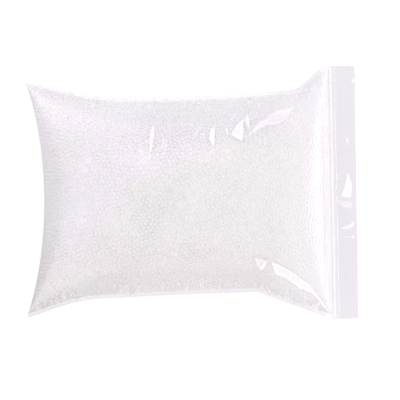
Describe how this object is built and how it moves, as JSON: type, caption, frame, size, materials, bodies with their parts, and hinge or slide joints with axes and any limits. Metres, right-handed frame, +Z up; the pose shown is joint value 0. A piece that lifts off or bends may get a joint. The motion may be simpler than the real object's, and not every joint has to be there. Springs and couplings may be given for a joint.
{
  "type": "bag of polystyrene beads",
  "caption": "Clear press-seal film bag packed tight with small white foam beads, lying on its belly, with drawn-in sides, pointed lower corners and ribbed grip lips.",
  "frame": {"origin": "centre of the base of the bag's bounding box, on the surface that the bag lies on", "axes": "+X from the folded bottom of the bag towards its closure and lips, +Y across the bag, +Z up from the surface it lies on"},
  "size_m": [0.2244, 0.17, 0.0798],
  "materials": {
    "film": "clear glossy film",
    "closure": "clear glossy moulding",
    "beads": "white expanded foam, matt"
  },
  "bodies": {
    "root": {"bag_film": "film", "zip_rib_strip": "closure", "zip_groove_strip": "closure", "bead_fill": "beads"}
  },
  "joints": []
}
